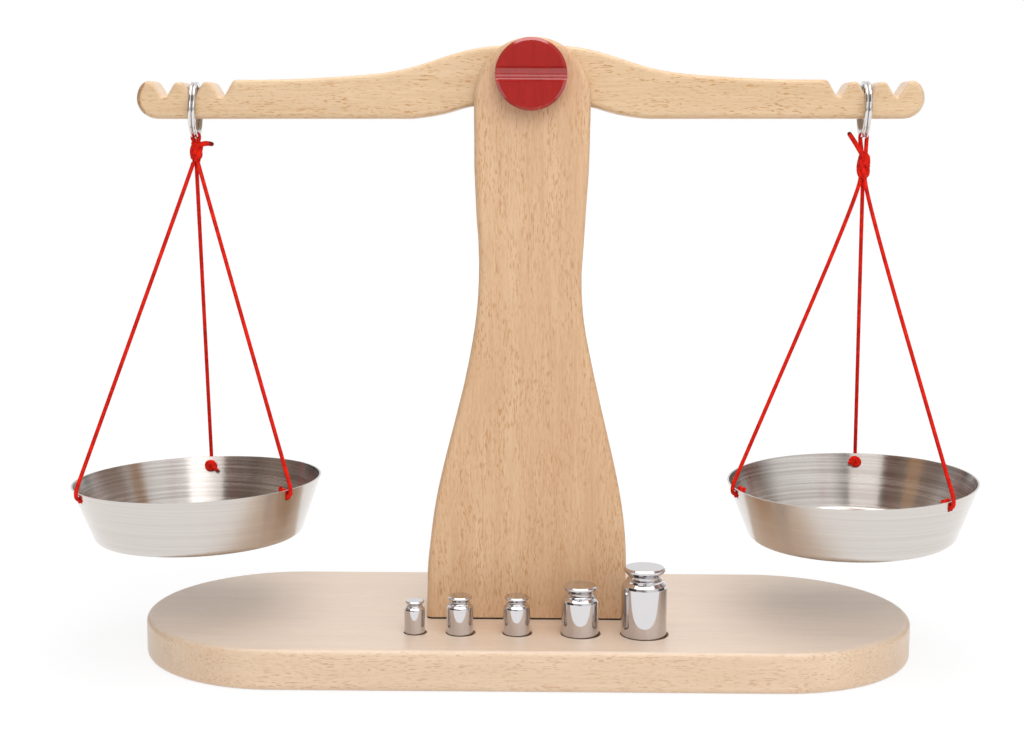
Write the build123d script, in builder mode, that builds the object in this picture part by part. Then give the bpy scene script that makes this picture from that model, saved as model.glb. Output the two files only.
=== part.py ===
from build123d import *
import os
from math import asin, atan2, cos, degrees, pi, radians, sin, sqrt, tan

# A wooden balance with two hanging pans, in millimetres. X runs along the beam, the front
# faces -Y and Z is up. The origin is the middle of the base board's underside.

# Clearances
running_gap = 0.05
cheek_gap = 0.5
soft_gap = 0.3
recess_gap = 0.75
knot_gap = 0.4

# Base board
base_length = 385
base_width = 144
base_thickness = 20
base_edge_radius = 3

# Upright: its waist lies above the base board, and its round head is centred below the pivot
upright_thickness = 38
foot_half_width = 49.4
waist_half_width = 24.9
head_radius = 28
foot_straight = 25
waist_height = 175
head_drop = 11
upright_edge_radius = 3

# Beam, its heights above and below the pivot
pivot_height = 267
beam_thickness = 20
arm_top_drop = 2.6
arm_bottom_drop = 20.7
crown_rise = 13
belly_drop = 12
arm_flat = 11.3
belly_reach = 60
beam_edge_radius = 1
tip_top_radius = 5.4
tip_bottom_radius = 10
slot_floor_gap = 2.3

# Places along the beam, each with its share of the crown's rise or the belly's hollow
crown_curve = [(33.5, 0.88), (62, 0.33), (91, 0.11)]
belly_curve = [(43, 0.25), (28, 0.71)]

# Notches for the rings, three at each end of the beam, and the tip beyond the last
notch_reach = 163
notch_pitch = 14.5
notch_depth = 8.8
notch_wall_angle = 57
notch_radius = 1.2
bump_radius = 2.4
bump_drop = 0.65
shoulder_radius = 1.5
shoulder_angle = 62
tip_reach = 13

# Pivot
axle_radius = 4
bush_wall = 1.5
washer_radius = 11
knob_radius = 17
knob_thickness = 11.5
knob_chamfer = 1.4
groove_radius = 4
groove_width = 7.2

# Screws and dowels in the foot
dowel_radius = 4
dowel_length = 30
dowel_reach = 34
screw_radius = 2.25
screw_length = 50
screw_head_radius = 4.5
screw_head_angle = 82
screw_sink = 1
screw_reach = 17

# Rings of two turns of wire, and the cord
ring_wire = 1.75
ring_play = 1.35
cord_diameter = 2
cord_radius = cord_diameter / 2
strand_spread = 1.3
bend_share = 0.45

# Pans, measured to the outside of the sheet
pan_rim_radius = 62
pan_floor_radius = 51
pan_depth = 29
pan_wall = 0.8
pan_corner_radius = 4.2
pan_hole_radius = 1.5
pan_hole_drop = 4
lip_gap = 0.35
stopper_radius = 1.9
stopper_tail = 3
stopper_tail_radius = 0.9
stopper_tail_dip = 0.6

# Weights in their row of recesses, each with its radius, height and place along the row
weight_row_inset = 30.5
recess_depth = 4
radius_10g, height_10g, place_10g = 5, 19.8, -54.4
radius_20g, height_20g, place_20g_a, place_20g_b = 6.5, 22.3, -32.5, -5
radius_50g, height_50g, place_50g = 9, 28, 25.6
radius_100g, height_100g, place_100g = 11, 37.2, 56.4
weights = {
    "weight_10g": (radius_10g, height_10g, place_10g),
    "weight_20g_a": (radius_20g, height_20g, place_20g_a),
    "weight_20g_b": (radius_20g, height_20g, place_20g_b),
    "weight_50g": (radius_50g, height_50g, place_50g),
    "weight_100g": (radius_100g, height_100g, place_100g),
}

weight_foot_chamfer = 0.5

# The weights' outline from the disc down to the shoulder, as shares of the body's radius:
# how far out, and how far below the top
weight_outline = [
    (0.86, 0),
    (0.91, 0.05),
    (0.91, 0.12),
    (0.7, 0.37),
    (0.69, 0.45),
    (0.78, 0.56),
    (0.8, 0.62),
    (0.97, 0.78),
    (1, 0.84),
]

# Hanging sides. Each knot hangs below its ring, and each pan's rim below the knot, a little
# to one side and out of level. The holes' angles run round the pan from +X.
sides = {
    "left": {
        "sign": -1,
        "knot_drop": 3.7,
        "knot_height": 9.7,
        "bundle": 2.5,
        "pan_shift": -4,
        "pan_drop": 158.64,
        "tilt_x": -0.7,
        "tilt_y": 1.5,
        "holes": {"back": 94.5, "left": 214, "right": 326},
        "tail": [(2.2, -1, -2.6), (6, -1.8, -1.4), (10, -2.2, -2.2)],
    },
    "right": {
        "sign": 1,
        "knot_drop": 8.6,
        "knot_height": 11.2,
        "bundle": 5,
        "pan_shift": -0.7,
        "pan_drop": 150.74,
        "tilt_x": 1.5,
        "tilt_y": 1.7,
        "holes": {"back": 77.5, "left": 192, "right": 308},
        "tail": [(-1.4, -2.4, -1.2), (-4, -2.8, 4.2), (-8, -3, 9.4)],
    },
}
knot_radius = 3.4
knot_corner = 1.5
leg_spread = 1.3

# Heights and widths that follow from these
pivot_z = base_thickness + pivot_height
head_z = pivot_z - head_drop
waist_z = base_thickness + waist_height
beam_half = beam_thickness / 2
upright_half = upright_thickness / 2
slot_width = beam_thickness + 2 * cheek_gap
arm_top_z = pivot_z - arm_top_drop
arm_bottom_z = pivot_z - arm_bottom_drop
crown_z = pivot_z + crown_rise
belly_z = pivot_z - belly_drop
slot_floor_z = arm_bottom_z - slot_floor_gap
notch_low_z = arm_top_z - notch_depth
bump_top_z = arm_top_z - bump_drop
weight_row_y = weight_row_inset - base_width / 2
head_slope = tan(radians(screw_head_angle / 2))
screw_head_depth = (screw_head_radius - screw_radius) / head_slope

os.makedirs("parts", exist_ok=True)


def wave(low, high, share):
    """A width on the smooth curve from low to high, at a share of its run."""
    return low + (high - low) * (1 - cos(pi * share)) / 2


# Base board, with the weights' recesses on top and the screws' countersinks below
with BuildPart() as base_board:
    with BuildSketch():
        SlotOverall(base_length, base_width)
    extrude(amount=base_thickness)
    fillet(base_board.edges(), base_edge_radius)
    for radius, height, place in weights.values():
        with BuildSketch(Plane.XY.offset(base_thickness)):
            with Locations((place, weight_row_y)):
                Circle(radius + recess_gap)
        extrude(amount=-recess_depth, mode=Mode.SUBTRACT)
    with BuildSketch(Plane.XY.offset(base_thickness)):
        with Locations((-dowel_reach, 0), (dowel_reach, 0)):
            Circle(dowel_radius)
    extrude(amount=-dowel_length / 2, mode=Mode.SUBTRACT)
    with Locations(Plane.XY.rotated((180, 0, 0))):
        with Locations((-screw_reach, 0), (screw_reach, 0)):
            CounterSinkHole(
                screw_radius,
                screw_head_radius + screw_sink * head_slope,
                counter_sink_angle=screw_head_angle,
            )
base_board.part.label = "base_board"
export_step(base_board.part, "parts/base_board.step")

# Upright, a vase outline that ends in a round head, forked for the beam
with BuildPart() as upright:
    with BuildSketch(Plane.XZ):
        with BuildLine():
            foot_top_z = base_thickness + foot_straight
            Line((0, base_thickness), (foot_half_width, base_thickness))
            Line((foot_half_width, base_thickness), (foot_half_width, foot_top_z))
            flank = [
                (
                    wave(foot_half_width, waist_half_width, share),
                    foot_top_z + (waist_z - foot_top_z) * share,
                )
                for share in (0, 0.25, 0.5, 0.75, 1)
            ]
            Spline(*flank, tangents=[(0, 1), (0, 1)])
            Spline(
                (waist_half_width, waist_z),
                ((waist_half_width + head_radius) / 2, (waist_z + head_z) / 2),
                (head_radius, head_z),
                tangents=[(0, 1), (0, 1)],
            )
            CenterArc((0, head_z), head_radius, 0, 90)
            mirror(about=Plane.YZ)
        make_face()
    extrude(amount=upright_half, both=True)
    front_and_back = upright.faces().sort_by(Axis.Y)
    rounded = front_and_back[0].edges() + front_and_back[-1].edges()
    fillet([edge for edge in rounded if edge.center().Z > base_thickness], upright_edge_radius)
    with BuildSketch(Plane.YZ):
        with Locations((0, slot_floor_z)):
            Rectangle(slot_width, head_z + head_radius, align=(Align.CENTER, Align.MIN))
    extrude(amount=head_radius, both=True, mode=Mode.SUBTRACT)
    with BuildSketch(Plane.XZ):
        with Locations((0, pivot_z)):
            Circle(axle_radius + running_gap)
    extrude(amount=upright_half, both=True, mode=Mode.SUBTRACT)
    with BuildSketch(Plane.XY.offset(base_thickness)):
        with Locations((-dowel_reach, 0), (dowel_reach, 0)):
            Circle(dowel_radius)
    extrude(amount=dowel_length / 2, mode=Mode.SUBTRACT)
    with BuildSketch(Plane.XY.offset(base_thickness)):
        with Locations((-screw_reach, 0), (screw_reach, 0)):
            Circle(screw_radius)
    extrude(amount=screw_length + screw_sink - base_thickness, mode=Mode.SUBTRACT)
upright.part.label = "upright"
export_step(upright.part, "parts/upright.step")

# Dowels and screws that hold the upright on the base board
with BuildPart() as foot_dowels:
    with BuildSketch(Plane.XY.offset(base_thickness - dowel_length / 2)):
        with Locations((-dowel_reach, 0), (dowel_reach, 0)):
            Circle(dowel_radius)
    extrude(amount=dowel_length)
foot_dowels.part.label = "foot_dowels"
export_step(foot_dowels.part, "parts/foot_dowels.step")

with BuildPart() as foot_screws:
    for reach in (-screw_reach, screw_reach):
        with BuildSketch(Plane.XZ):
            with BuildLine():
                Polyline(
                    (reach, screw_sink),
                    (reach + screw_head_radius, screw_sink),
                    (reach + screw_radius, screw_sink + screw_head_depth),
                    (reach + screw_radius, screw_sink + screw_length - screw_head_depth),
                    (reach, screw_sink + screw_length),
                    close=True,
                )
            make_face()
        revolve(axis=Axis((reach, 0, 0), (0, 0, 1)))
foot_screws.part.label = "foot_screws"
export_step(foot_screws.part, "parts/foot_screws.step")

# Beam, drawn as the outline of its right half from the crown round to the belly
slope = tan(radians(notch_wall_angle))
rounding = 1 / cos(radians(notch_wall_angle)) - 1
vee_z = notch_low_z - notch_radius * rounding
peak_z = vee_z + slope * notch_pitch / 2
notches = [notch_reach - notch_pitch, notch_reach, notch_reach + notch_pitch]
shoulder_x = notches[0] - (arm_top_z - vee_z) / tan(radians(shoulder_angle))
crown_reach = shoulder_x - arm_flat
beam_tip = notches[2] + tip_reach
last_bump_x = notches[2] + (bump_top_z - vee_z) / slope
with BuildPart() as beam:
    with BuildSketch(Plane.XZ):
        with BuildLine():
            Spline(
                (0, crown_z),
                *[(x, arm_top_z + share * (crown_z - arm_top_z)) for x, share in crown_curve],
                (crown_reach, arm_top_z),
                tangents=[(1, 0), (1, 0)],
            )
            FilletPolyline(
                (crown_reach, arm_top_z),
                (shoulder_x, arm_top_z),
                (notches[0], vee_z),
                (notches[0] + notch_pitch / 2, peak_z),
                (notches[1], vee_z),
                (notches[1] + notch_pitch / 2, peak_z),
                (notches[2], vee_z),
                (last_bump_x, bump_top_z),
                (beam_tip, bump_top_z),
                (beam_tip, arm_bottom_z),
                (belly_reach, arm_bottom_z),
                radius=[
                    shoulder_radius,
                    notch_radius,
                    bump_radius,
                    notch_radius,
                    bump_radius,
                    notch_radius,
                    bump_radius,
                    tip_top_radius,
                    tip_bottom_radius,
                ],
            )
            Spline(
                (belly_reach, arm_bottom_z),
                *[(x, arm_bottom_z + share * (belly_z - arm_bottom_z)) for x, share in belly_curve],
                (0, belly_z),
                tangents=[(-1, 0), (-1, 0)],
            )
            mirror(about=Plane.YZ)
        make_face()
    extrude(amount=beam_half, both=True)
    sides_of_beam = beam.faces().sort_by(Axis.Y)
    fillet(sides_of_beam[0].edges() + sides_of_beam[-1].edges(), beam_edge_radius)
    with BuildSketch(Plane.XZ):
        with Locations((0, pivot_z)):
            Circle(axle_radius + running_gap + bush_wall)
    extrude(amount=beam_half, both=True, mode=Mode.SUBTRACT)
beam.part.label = "beam"
export_step(beam.part, "parts/beam.step")

# Bush and washers in the beam, and the axle they turn on
with BuildPart() as beam_bush:
    with BuildSketch(Plane.XZ):
        with Locations((0, pivot_z)):
            Circle(axle_radius + running_gap + bush_wall)
            Circle(axle_radius + running_gap, mode=Mode.SUBTRACT)
    extrude(amount=beam_half, both=True)
beam_bush.part.label = "beam_bush"
export_step(beam_bush.part, "parts/beam_bush.step")

washer_thickness = cheek_gap - 2 * running_gap
with BuildPart() as beam_washers:
    for start in (-beam_half - washer_thickness, beam_half):
        with BuildSketch(Plane.XZ.offset(-start - washer_thickness)):
            with Locations((0, pivot_z)):
                Circle(washer_radius)
                Circle(axle_radius + running_gap, mode=Mode.SUBTRACT)
        extrude(amount=washer_thickness)
beam_washers.part.label = "beam_washers"
export_step(beam_washers.part, "parts/beam_washers.step")

knob_inner = upright_half + cheek_gap
with BuildPart() as pivot_axle:
    with BuildSketch(Plane.XZ):
        with Locations((0, pivot_z)):
            Circle(axle_radius)
    extrude(amount=knob_inner + knob_thickness / 2, both=True)
pivot_axle.part.label = "pivot_axle"
export_step(pivot_axle.part, "parts/pivot_axle.step")

# Knobs on the axle's ends; the front one has a round groove across its face
groove_offset = sqrt(groove_radius**2 - (groove_width / 2) ** 2)
for name, way in (("front_knob", -1), ("rear_knob", 1)):
    with BuildPart() as knob:
        with BuildSketch(Plane((0, way * knob_inner, pivot_z), x_dir=(1, 0, 0), z_dir=(0, way, 0))):
            Circle(knob_radius)
        extrude(amount=knob_thickness)
        outer_edge = knob.faces().sort_by(Axis.Y)[-1 if way > 0 else 0].edges()
        chamfer(outer_edge, knob_chamfer)
        with BuildSketch(Plane((0, way * knob_inner, pivot_z), x_dir=(1, 0, 0), z_dir=(0, way, 0))):
            Circle(axle_radius)
        extrude(amount=knob_thickness / 2, mode=Mode.SUBTRACT)
        if name == "front_knob":
            face_y = way * (knob_inner + knob_thickness + groove_offset)
            with BuildSketch(Plane.YZ):
                with Locations((face_y, pivot_z)):
                    Circle(groove_radius)
            extrude(amount=knob_radius, both=True, mode=Mode.SUBTRACT)
    knob.part.label = name
    export_step(knob.part, f"parts/{name}.step")

# Weights, turned with a disc on a neck, a collar, a shoulder and a straight body
foot_z = base_thickness - recess_depth
for name, (radius, height, place) in weights.items():
    top_z = foot_z + height
    turned = [(radius * across, top_z - radius * down) for across, down in weight_outline]
    with BuildPart() as weight:
        with BuildSketch(Plane((place, weight_row_y, 0), x_dir=(1, 0, 0), z_dir=(0, -1, 0))):
            with BuildLine():
                Polyline(
                    (0, top_z),
                    *turned,
                    (radius, foot_z + weight_foot_chamfer),
                    (radius - weight_foot_chamfer, foot_z),
                    (0, foot_z),
                    close=True,
                )
            make_face()
        revolve(axis=Axis((place, weight_row_y, 0), (0, 0, 1)))
    weight.part.label = name
    export_step(weight.part, f"parts/{name}.step")

# Rings: two turns of wire side by side, resting on the walls of the middle notches
ring_inner = beam_half + ring_play
wire_radius = ring_wire / 2
wire_rise = wire_radius * (1 / cos(radians(notch_wall_angle)) + slope - 1)
seat_z = vee_z + wire_rise + soft_gap
edge_reach = sqrt((ring_inner - beam_edge_radius) ** 2 - (beam_half - beam_edge_radius) ** 2)
ring_z = seat_z - beam_edge_radius - edge_reach
wire_low_z = ring_z - ring_inner - wire_radius
print("ring seat", round(seat_z, 3), "ring centre", round(ring_z, 3))
for side, values in sides.items():
    ring_x = values["sign"] * notch_reach
    with BuildPart() as ring:
        with BuildSketch(Plane.XZ):
            with Locations(
                (ring_x - wire_radius, ring_z + ring_inner + wire_radius),
                (ring_x + wire_radius, ring_z + ring_inner + wire_radius),
            ):
                Circle(wire_radius)
            with Locations((ring_x, ring_z + ring_inner + wire_radius)):
                Rectangle(ring_wire, wire_radius)
        revolve(axis=Axis((0, 0, ring_z), (1, 0, 0)))
    ring.part.label = f"{side}_ring"
    export_step(ring.part, f"parts/{side}_ring.step")

# Cords: a loop over each ring, a knot, three strands through the pan's rim and their stoppers
loop_radius = ring_wire + soft_gap + cord_radius
for side, values in sides.items():
    ring_x = values["sign"] * notch_reach
    knot_top_z = wire_low_z - values["knot_drop"]
    knot_low_z = knot_top_z - values["knot_height"]

    # The loop's legs run from the knot, tangent to its round top
    leg_start_z = knot_top_z - cord_radius
    leg_rise = wire_low_z - leg_start_z
    reach = sqrt(leg_spread**2 + leg_rise**2)
    leg_angle = degrees(atan2(leg_rise, -leg_spread) - asin(loop_radius / reach))
    with BuildPart() as loop:
        with BuildLine(Plane.XZ) as loop_route:
            bow = CenterArc((ring_x, wire_low_z), loop_radius, leg_angle - 90, 360 - 2 * leg_angle)
            Line((ring_x + leg_spread, leg_start_z), bow @ 0)
            Line(bow @ 1, (ring_x - leg_spread, leg_start_z))
        with BuildSketch(Plane(loop_route.wire() @ 0, z_dir=loop_route.wire() % 0)):
            Circle(cord_radius)
        sweep()
    loop.part.label = f"{side}_cord_loop"
    export_step(loop.part, f"parts/{side}_cord_loop.step")

    with BuildPart() as knot:
        with BuildSketch(Plane((ring_x, 0, 0), x_dir=(1, 0, 0), z_dir=(0, -1, 0))):
            with BuildLine():
                FilletPolyline(
                    (0, knot_low_z),
                    (knot_radius, knot_low_z),
                    (knot_radius, knot_top_z),
                    (0, knot_top_z),
                    radius=knot_corner,
                )
                Line((0, knot_top_z), (0, knot_low_z))
            make_face()
        revolve(axis=Axis((ring_x, 0, 0), (0, 0, 1)))
    knot.part.label = f"{side}_top_knot"
    export_step(knot.part, f"parts/{side}_top_knot.step")

    tail_points = [Vector(ring_x + x, y, knot_top_z + z) for x, y, z in values["tail"]]
    tail_runs = [(b - a) for a, b in zip(tail_points, tail_points[1:])]
    half_turn = radians(tail_runs[0].get_angle(tail_runs[1]) / 2)
    tail_radius = bend_share * min(run.length for run in tail_runs) / tan(half_turn)
    print(side, "tail bend radius", round(tail_radius, 1))
    with BuildPart() as tail:
        with BuildLine() as tail_route:
            FilletPolyline(*tail_points, radius=[tail_radius])
        with BuildSketch(Plane(tail_route.wire() @ 0, z_dir=tail_route.wire() % 0)):
            Circle(cord_radius)
        sweep()
    tail.part.label = f"{side}_cord_tail"
    export_step(tail.part, f"parts/{side}_cord_tail.step")

    # The pan stands in its own tilted plane, level with its rim
    rim_normal = Vector(-sin(radians(values["tilt_y"])), -sin(radians(values["tilt_x"])), 1).normalized()
    rim_x = (Vector(1, 0, 0) - rim_normal * rim_normal.X).normalized()
    rim_centre = (ring_x + values["pan_shift"], 0, knot_low_z - values["pan_drop"])
    rim = Plane(rim_centre, x_dir=rim_x, z_dir=rim_normal)
    taper = (pan_rim_radius - pan_floor_radius) / pan_depth
    lean = atan2(pan_rim_radius - pan_floor_radius, pan_depth)
    wall_across = pan_wall / cos(lean)
    inner_floor_radius = pan_floor_radius + pan_wall * taper - wall_across
    with BuildPart() as pan:
        with BuildSketch(Plane(rim.origin, x_dir=rim.x_dir, z_dir=-rim.y_dir)):
            with BuildLine():
                outer = FilletPolyline(
                    (0, -pan_depth),
                    (pan_floor_radius, -pan_depth),
                    (pan_rim_radius, 0),
                    radius=pan_corner_radius,
                )
                inner = FilletPolyline(
                    (0, pan_wall - pan_depth),
                    (inner_floor_radius, pan_wall - pan_depth),
                    (pan_rim_radius - wall_across, 0),
                    radius=pan_corner_radius - pan_wall,
                )
                Line(outer @ 1, inner @ 1)
                Line(outer @ 0, inner @ 0)
            make_face()
        revolve(axis=Axis(rim.origin, rim.z_dir))
        for azimuth in values["holes"].values():
            out = rim.x_dir * cos(radians(azimuth)) + rim.y_dir * sin(radians(azimuth))
            through = out * cos(lean) - rim.z_dir * sin(lean)
            hole = rim.origin + out * (pan_rim_radius - pan_hole_drop * taper) - rim.z_dir * pan_hole_drop
            with BuildSketch(Plane(hole, z_dir=through)):
                Circle(pan_hole_radius)
            extrude(amount=2 * pan_wall, both=True, mode=Mode.SUBTRACT)
    pan.part.label = f"{side}_pan"
    export_step(pan.part, f"parts/{side}_pan.step")

    # Each strand leaves the knot, bends over the lip and turns in through its hole
    for place, azimuth in values["holes"].items():
        out = rim.x_dir * cos(radians(azimuth)) + rim.y_dir * sin(radians(azimuth))
        through = out * cos(lean) - rim.z_dir * sin(lean)
        hole = rim.origin + out * (pan_rim_radius - pan_hole_drop * taper) - rim.z_dir * pan_hole_drop
        level_out = Vector(cos(radians(azimuth)), sin(radians(azimuth)), 0) * strand_spread
        start = Vector(ring_x, 0, knot_low_z - knot_gap) + level_out
        stopper = hole - through * (pan_wall + soft_gap + stopper_radius)
        points = [
            start,
            start - Vector(0, 0, values["bundle"]),
            rim.origin + out * (pan_rim_radius + cord_radius + lip_gap),
            hole + through * (cord_radius + lip_gap),
            stopper,
        ]
        runs = [b - a for a, b in zip(points, points[1:])]
        turns = [radians(a.get_angle(b)) for a, b in zip(runs, runs[1:])]
        bend = bend_share * runs[0].length / tan(turns[0] / 2)
        with BuildPart() as strand:
            with BuildLine() as strand_route:
                FilletPolyline(*points, radius=[bend, cord_radius + lip_gap, cord_radius + lip_gap])
            with BuildSketch(Plane(strand_route.wire() @ 0, z_dir=strand_route.wire() % 0)):
                Circle(cord_radius)
            sweep()
        length = strand_route.wire().length
        print(
            f"{side}_strand_{place}: length {length:.1f}, first bend {bend:.1f},"
            f" volume share {strand.part.volume / (pi * cord_radius**2 * length):.4f}"
        )
        strand.part.label = f"{side}_strand_{place}"
        export_step(strand.part, f"parts/{side}_strand_{place}.step")

        # The stopper knot is a bead against the wall, with the cord's cut end below it
        tail_way = (rim.z_dir * -stopper_tail_dip - out).normalized()
        with BuildPart() as bead:
            with Locations(Plane(stopper, z_dir=tail_way)):
                Sphere(stopper_radius)
            with BuildSketch(Plane(stopper, z_dir=tail_way)):
                Circle(stopper_tail_radius)
            extrude(amount=stopper_radius + stopper_tail)
        bead.part.label = f"{side}_stopper_{place}"
        export_step(bead.part, f"parts/{side}_stopper_{place}.step")
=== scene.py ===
from math import atan2, cos, pi, radians, sin, tan

import bmesh
import bpy
from mathutils import Matrix, Vector


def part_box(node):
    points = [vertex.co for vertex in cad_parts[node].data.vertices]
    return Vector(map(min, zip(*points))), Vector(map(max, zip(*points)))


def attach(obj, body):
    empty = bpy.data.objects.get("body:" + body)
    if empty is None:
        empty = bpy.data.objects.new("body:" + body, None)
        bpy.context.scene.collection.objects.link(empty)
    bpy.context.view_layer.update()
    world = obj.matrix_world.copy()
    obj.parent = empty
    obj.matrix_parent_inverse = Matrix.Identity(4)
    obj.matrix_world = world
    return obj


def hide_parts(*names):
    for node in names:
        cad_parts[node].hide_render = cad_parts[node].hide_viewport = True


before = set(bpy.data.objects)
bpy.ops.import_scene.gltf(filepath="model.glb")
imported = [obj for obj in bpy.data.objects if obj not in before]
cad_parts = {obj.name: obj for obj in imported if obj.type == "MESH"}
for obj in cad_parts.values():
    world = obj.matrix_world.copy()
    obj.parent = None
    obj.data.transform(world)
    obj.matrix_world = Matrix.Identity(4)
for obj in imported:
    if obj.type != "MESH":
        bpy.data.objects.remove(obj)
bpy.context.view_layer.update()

mm = 0.001


# Studio: a plain white floor and background, a broad soft light from above, two soft boxes
# in front and a third that shows only in reflections. The camera stands at the photograph's
# viewpoint, a little above the pans and looking slightly down at the balance.
camera_place = Vector((-0.75, -815.74, 258.06)) * mm
camera_lens = 58.08
camera_turn = 0.00962
camera_dip = 0.14145
camera_roll = 0.00474
floor_half = 4.0
shadow_near = 0.3
shadow_far = 0.75


def wire(tree, kind, inputs=None, **settings):
    """A new shader node with its settings, and its inputs as values or as sockets to link."""
    node = tree.nodes.new(kind)
    for key, value in settings.items():
        setattr(node, key, value)
    for key, value in (inputs or {}).items():
        if isinstance(value, bpy.types.NodeSocket):
            tree.links.new(value, node.inputs[key])
        else:
            node.inputs[key].default_value = value
    return node


def ramp(tree, value, *stops):
    """A colour ramp over value, from its stops as (place, grey or colour)."""
    node = wire(tree, "ShaderNodeValToRGB", {0: value})
    while len(node.color_ramp.elements) < len(stops):
        node.color_ramp.elements.new(1)
    for element, (place, colour) in zip(node.color_ramp.elements, stops):
        element.position = place
        element.color = (*colour, 1) if isinstance(colour, tuple) else (colour, colour, colour, 1)
    return node.outputs[0]


def blend(tree, share, low, high):
    """The colour low where share is 0 and high where it is 1, each a tuple or a socket."""
    low, high = ((*colour, 1) if isinstance(colour, tuple) else colour for colour in (low, high))
    return wire(tree, "ShaderNodeMix", {0: share, 6: low, 7: high}, data_type="RGBA").outputs[2]


def maths(tree, operation, *values):
    """One sum of sockets and numbers."""
    return wire(tree, "ShaderNodeMath", dict(enumerate(values)), operation=operation).outputs[0]


def new_material(name):
    """An empty node material, its tree and its output node."""
    material = bpy.data.materials.new(name)
    material.use_nodes = True
    tree = material.node_tree
    tree.nodes.clear()
    return material, tree, tree.nodes.new("ShaderNodeOutputMaterial")


camera = bpy.data.objects.new("camera", bpy.data.cameras.new("camera"))
camera.data.lens = camera_lens
camera.data.sensor_width = 36
camera.data.clip_end = 20
camera.matrix_world = (
    Matrix.Translation(camera_place)
    @ Matrix.Rotation(camera_turn, 4, "Z")
    @ Matrix.Rotation(pi / 2 - camera_dip, 4, "X")
    @ Matrix.Rotation(camera_roll, 4, "Z")
)
bpy.context.scene.collection.objects.link(camera)
bpy.context.scene.camera = camera
bpy.context.scene.view_settings.view_transform = "Standard"

floor_mesh = bpy.data.meshes.new("floor")
floor_mesh.from_pydata(
    [(x * floor_half, y * floor_half, 0) for x, y in ((-1, -1), (1, -1), (1, 1), (-1, 1))],
    [],
    [(0, 1, 2, 3)],
)
floor = bpy.data.objects.new("floor", floor_mesh)
bpy.context.scene.collection.objects.link(floor)

# Near the object the floor shows its own soft shadow; further off it is as white as the
# background, so no horizon shows.
white_floor, tree, output = new_material("white_floor")
light_path = wire(tree, "ShaderNodeLightPath").outputs
place = wire(tree, "ShaderNodeTexCoord").outputs["Object"]
distance = wire(tree, "ShaderNodeVectorMath", {0: place}, operation="LENGTH").outputs["Value"]
whiteness = wire(tree, "ShaderNodeMapRange", {
    "Value": distance, "From Min": shadow_near, "From Max": shadow_far, "To Min": 0.8,
    "To Max": 1.0,
}).outputs[0]
seen = maths(tree, "MAXIMUM", light_path["Is Camera Ray"], light_path["Is Glossy Ray"])
seen = maths(tree, "MAXIMUM", seen, light_path["Is Transmission Ray"])
share = maths(tree, "MULTIPLY", seen, whiteness)
matt = wire(tree, "ShaderNodeBsdfDiffuse", {"Color": (0.86, 0.86, 0.87, 1)})
strength = maths(tree, "MULTIPLY_ADD", light_path["Is Glossy Ray"], 0.18, 1.06)
glow = wire(tree, "ShaderNodeEmission", {"Color": (1, 1, 1, 1), "Strength": strength})
mix = wire(tree, "ShaderNodeMixShader", {0: share, 1: matt.outputs[0], 2: glow.outputs[0]})
tree.links.new(mix.outputs[0], output.inputs[0])
floor_mesh.materials.append(white_floor)

# The room as polished metal mirrors it: bright behind the object and overhead. In front it
# is dark to the left and light to the right, and lower down light on both sides of a dark
# gap below the camera.
world = bpy.data.worlds.new("studio")
world.use_nodes = True
bpy.context.scene.world = world
tree = world.node_tree
tree.nodes.clear()
output = tree.nodes.new("ShaderNodeOutputWorld")
direction = wire(tree, "ShaderNodeTexCoord").outputs["Generated"]
parts = wire(tree, "ShaderNodeSeparateXYZ", {0: direction})
behind_camera = maths(tree, "MULTIPLY", parts.outputs["Y"], -1.0)
turn = maths(tree, "ARCTAN2", parts.outputs["X"], behind_camera)
turn = maths(tree, "MULTIPLY_ADD", turn, 0.5 / pi, 0.5)
dark = (0.065, 0.046, 0.036)
dim = (0.16, 0.12, 0.1)
high_room = ramp(
    tree, turn,
    (0, 0.45), (0.14, 0.45), (0.2, dim), (0.3, (0.15, 0.115, 0.095)), (0.37, dark), (0.47, dark),
    (0.5, 0.3), (0.53, 0.46), (0.65, 0.47), (0.705, 0.43), (0.735, 0.33), (0.77, dim), (0.83, dim),
    (0.88, 0.45),
)
low_room = ramp(
    tree, turn,
    (0, 0.42), (0.06, 0.42), (0.1, 0.012), (0.37, 0.012), (0.385, 0.45), (0.465, 0.45),
    (0.475, 0.08), (0.525, 0.08), (0.535, 0.45), (0.68, 0.4), (0.72, 0.03), (0.9, 0.03),
    (0.94, 0.42),
)
risen = ramp(tree, parts.outputs["Z"], (0.16, 0.0), (0.3, 1.0))
overhead = ramp(tree, parts.outputs["Z"], (0.86, 0.0), (0.92, 1.0))
room = blend(tree, overhead, blend(tree, risen, low_room, high_room), (1.6, 1.6, 1.6))
light_path = wire(tree, "ShaderNodeLightPath").outputs
mirrored_room = wire(tree, "ShaderNodeBackground", {"Color": room, "Strength": 2.2})
plain = wire(tree, "ShaderNodeBackground", {"Color": (1.0, 0.99, 0.98, 1), "Strength": 0.53})
white = wire(tree, "ShaderNodeBackground", {"Color": (1, 1, 1, 1), "Strength": 1.0})
lit = wire(tree, "ShaderNodeMixShader", {
    0: light_path["Is Glossy Ray"], 1: plain.outputs[0], 2: mirrored_room.outputs[0],
})
shown = wire(tree, "ShaderNodeMixShader", {
    0: light_path["Is Camera Ray"], 1: lit.outputs[0], 2: white.outputs[0],
})
tree.links.new(shown.outputs[0], output.inputs[0])


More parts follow.
